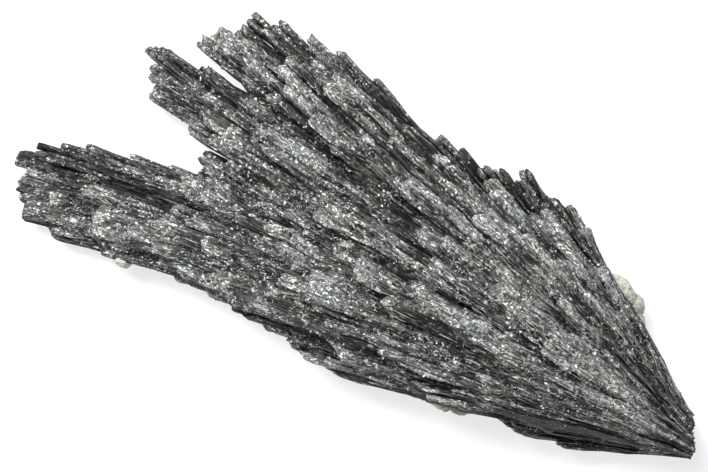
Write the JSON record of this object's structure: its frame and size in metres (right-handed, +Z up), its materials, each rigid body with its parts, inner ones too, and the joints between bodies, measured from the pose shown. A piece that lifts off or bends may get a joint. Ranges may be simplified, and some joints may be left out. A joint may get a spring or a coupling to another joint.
{
  "type": "black kyanite fan",
  "caption": "Flat fan of splintery near-black crystal blades spreading from one broken root, deeply notched between its lobes, with small pale quartz grains on its edges.",
  "frame": {"origin": "middle of the box's underside; the fan lies flat on Z = 0", "axes": "+X along the fan from the broken root to the blade tips, +Y across it towards the lobe that bends away, +Z up"},
  "size_m": [0.104, 0.0422, 0.0147],
  "materials": {
    "kyanite": "dark grey, vitreous to pearly, striated along the blades, frosted with pale mica",
    "quartz": "pale grey, granular, slightly translucent"
  },
  "bodies": {
    "root": {"kyanite_fan": "kyanite", "quartz_flank": "quartz", "quartz_lobe": "quartz", "quartz_edge": "quartz"}
  },
  "joints": []
}
